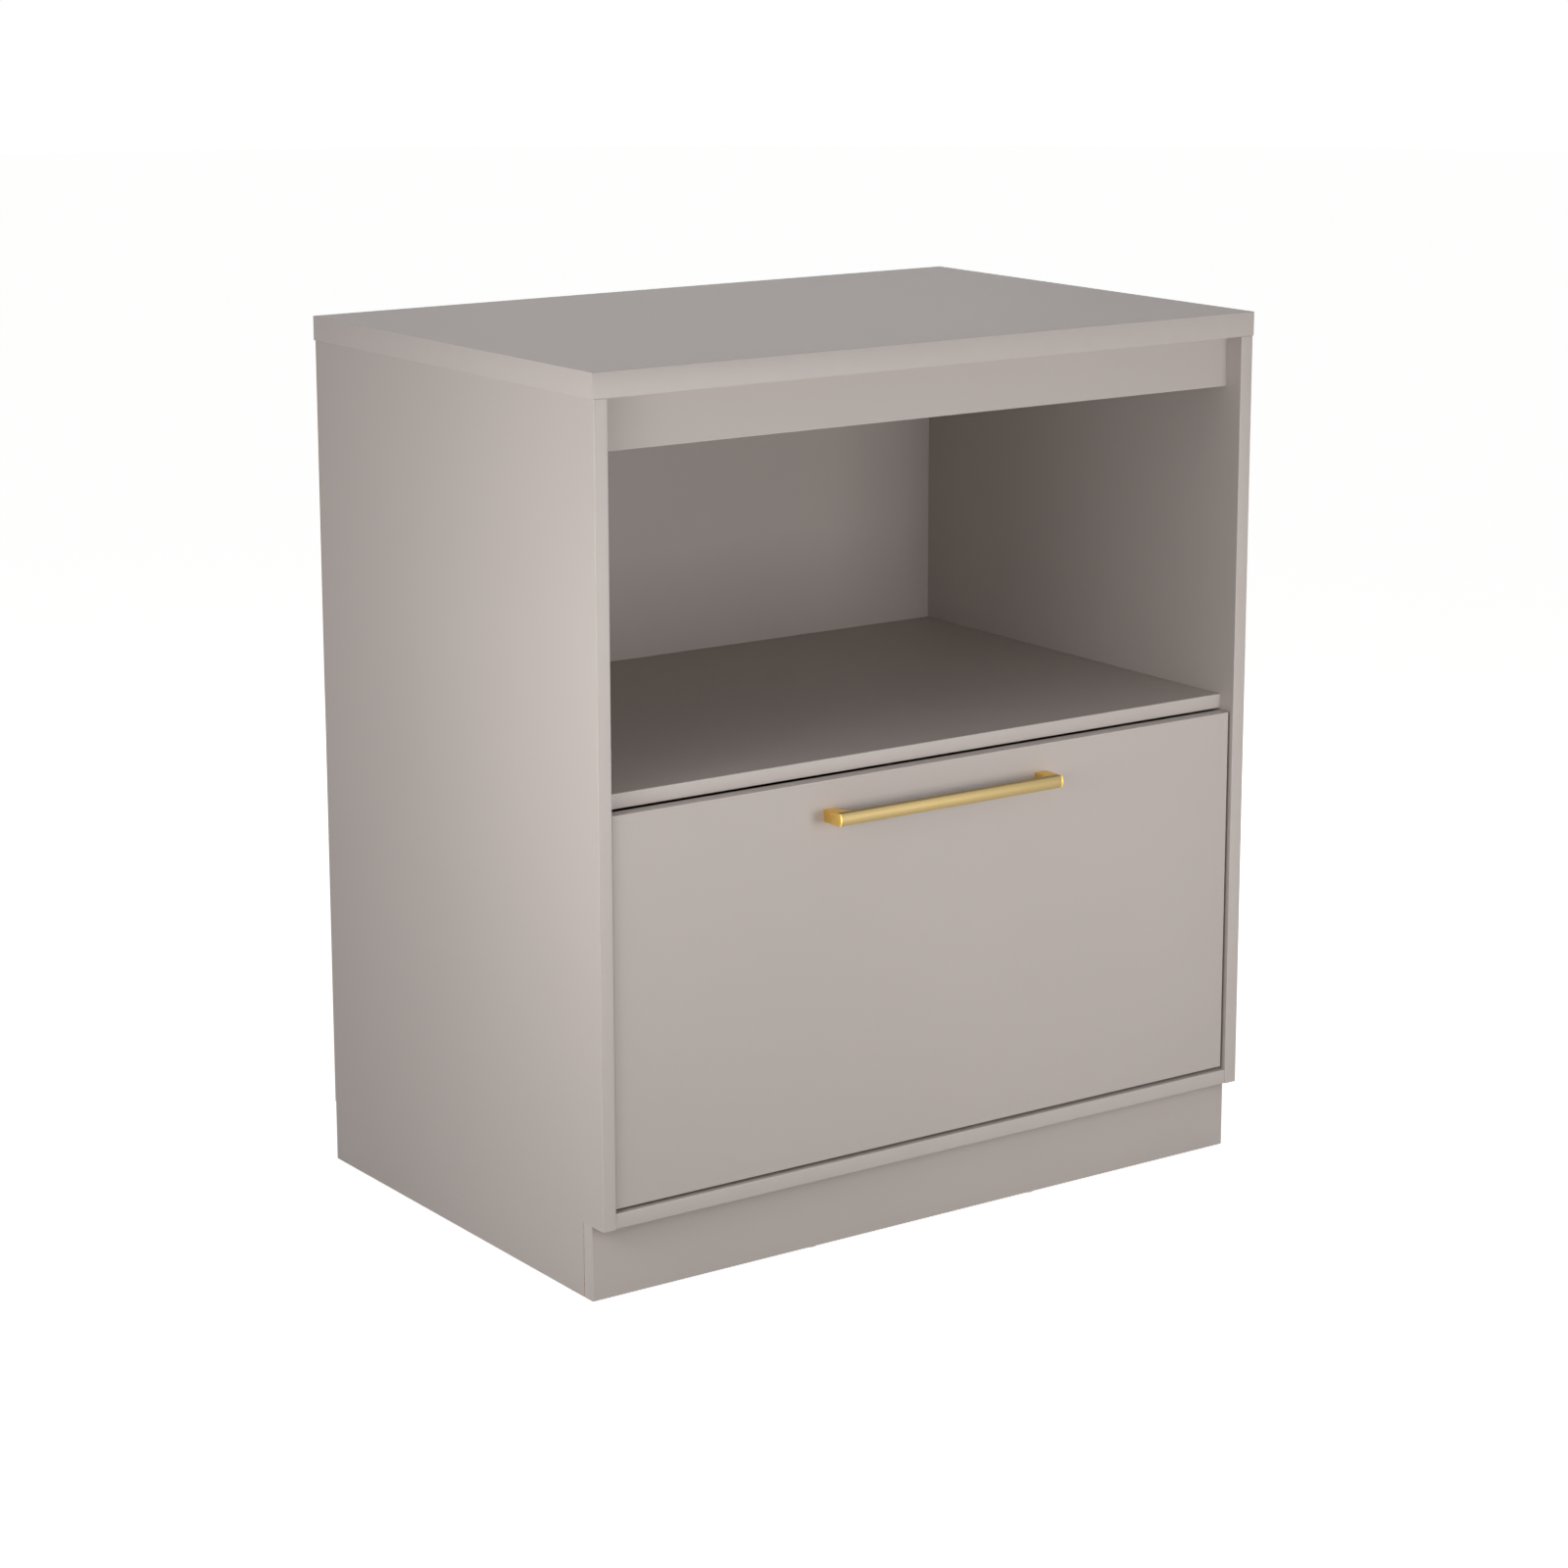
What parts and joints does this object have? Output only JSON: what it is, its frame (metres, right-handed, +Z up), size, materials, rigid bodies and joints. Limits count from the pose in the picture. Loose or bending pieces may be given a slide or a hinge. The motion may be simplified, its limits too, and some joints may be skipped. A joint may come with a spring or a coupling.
{
  "type": "kitchen base cabinet",
  "caption": "Free-standing kitchen base cabinet in greige laminate: worktop, open niche and a deep inset drawer with a brass bar handle on full-extension ball runners.",
  "frame": {"origin": "on the floor, in the middle of the overall width and depth, with the handle included", "axes": "+Z up, the front and the drawer's opening face -Y, +X to the right for someone who looks at the front from behind the origin towards +Y"},
  "size_m": [0.8, 0.5534, 0.9],
  "materials": {
    "greige_laminate": "matt laminated particleboard",
    "greige_thin_board": "matt lacquered fibreboard",
    "greige_edging": "matt edging strip",
    "brushed_brass": "brushed",
    "zinc_steel": "bright zinc plated",
    "bearing_steel": "polished",
    "fitting_steel": "zinc plated",
    "black_plastic": "moulded",
    "black_rubber": "matt",
    "beech": "fluted beech",
    "white_plastic": "moulded"
  },
  "bodies": {
    "cabinet": {"back_panel": "greige_thin_board", "back_panel_nails": "fitting_steel", "bottom_panel": "greige_laminate", "bottom_panel_edging": "greige_edging", "carcass_cam_bolts": "fitting_steel", "carcass_cams": "fitting_steel", "carcass_dowels": "beech", "floor_glides": "white_plastic", "front_plinth": "greige_laminate", "front_plinth_edging": "greige_edging", "front_rail": "greige_laminate", "front_rail_edging": "greige_edging", "left_runner_cabinet_channel": "zinc_steel", "left_side": "greige_laminate", "left_side_edging": "greige_edging", "niche_shelf": "greige_laminate", "niche_shelf_edging": "greige_edging", "plinth_blocks": "white_plastic", "plinth_dowels": "beech", "rear_plinth": "greige_laminate", "rear_rail": "greige_laminate", "right_runner_cabinet_channel": "zinc_steel", "right_side": "greige_laminate", "right_side_edging": "greige_edging", "runner_buffers": "black_rubber", "runner_cabinet_screws": "fitting_steel", "worktop": "greige_laminate", "worktop_edging": "greige_edging"},
    "drawer": {"drawer_back": "greige_laminate", "drawer_back_screws": "fitting_steel", "drawer_bottom": "greige_thin_board", "drawer_box_edging": "greige_edging", "drawer_cam_bolts": "fitting_steel", "drawer_cams": "fitting_steel", "drawer_front": "greige_laminate", "drawer_front_edging": "greige_edging", "drawer_left_side": "greige_laminate", "drawer_right_side": "greige_laminate", "handle_bar": "brushed_brass", "handle_left_foot": "brushed_brass", "handle_right_foot": "brushed_brass", "handle_screws": "fitting_steel", "left_runner_drawer_channel": "zinc_steel", "right_runner_drawer_channel": "zinc_steel", "runner_drawer_screws": "fitting_steel"},
    "left_middle_channel": {"left_runner_middle_channel": "zinc_steel"},
    "left_outer_cage": {"left_outer_balls": "bearing_steel", "left_outer_cage": "zinc_steel"},
    "left_inner_cage": {"left_inner_balls": "bearing_steel", "left_inner_cage": "zinc_steel"},
    "left_release_lever": {"left_release_lever": "black_plastic"},
    "right_middle_channel": {"right_runner_middle_channel": "zinc_steel"},
    "right_outer_cage": {"right_outer_balls": "bearing_steel", "right_outer_cage": "zinc_steel"},
    "right_inner_cage": {"right_inner_balls": "bearing_steel", "right_inner_cage": "zinc_steel"},
    "right_release_lever": {"right_release_lever": "black_plastic"}
  },
  "joints": [
    {"name": "drawer_slide", "type": "slide", "parent": "cabinet", "child": "drawer", "axis": [0, -1, 0], "range_m": [0, 0.45]},
    {"name": "left_middle_channel_slide", "type": "slide", "parent": "cabinet", "child": "left_middle_channel", "axis": [0, -1, 0], "range_m": [0, 0.225]},
    {"name": "left_outer_cage_slide", "type": "slide", "parent": "cabinet", "child": "left_outer_cage", "axis": [0, -1, 0], "range_m": [0, 0.1125]},
    {"name": "left_inner_cage_slide", "type": "slide", "parent": "cabinet", "child": "left_inner_cage", "axis": [0, -1, 0], "range_m": [0, 0.3375]},
    {"name": "left_release_turn", "type": "hinge", "parent": "drawer", "child": "left_release_lever", "pos_m": [-0.3725, -0.08175, 0.167], "axis": [1, 0, 0], "range_deg": [0, 8]},
    {"name": "right_middle_channel_slide", "type": "slide", "parent": "cabinet", "child": "right_middle_channel", "axis": [0, -1, 0], "range_m": [0, 0.225]},
    {"name": "right_outer_cage_slide", "type": "slide", "parent": "cabinet", "child": "right_outer_cage", "axis": [0, -1, 0], "range_m": [0, 0.1125]},
    {"name": "right_inner_cage_slide", "type": "slide", "parent": "cabinet", "child": "right_inner_cage", "axis": [0, -1, 0], "range_m": [0, 0.3375]},
    {"name": "right_release_turn", "type": "hinge", "parent": "drawer", "child": "right_release_lever", "pos_m": [0.3725, -0.08175, 0.167], "axis": [1, 0, 0], "range_deg": [-8, 0]}
  ],
  "couplings": [
    {"joint": "left_middle_channel_slide", "follows": "drawer_slide", "ratio": 0.5},
    {"joint": "left_outer_cage_slide", "follows": "drawer_slide", "ratio": 0.25},
    {"joint": "left_inner_cage_slide", "follows": "drawer_slide", "ratio": 0.75},
    {"joint": "right_middle_channel_slide", "follows": "drawer_slide", "ratio": 0.5},
    {"joint": "right_outer_cage_slide", "follows": "drawer_slide", "ratio": 0.25},
    {"joint": "right_inner_cage_slide", "follows": "drawer_slide", "ratio": 0.75}
  ]
}
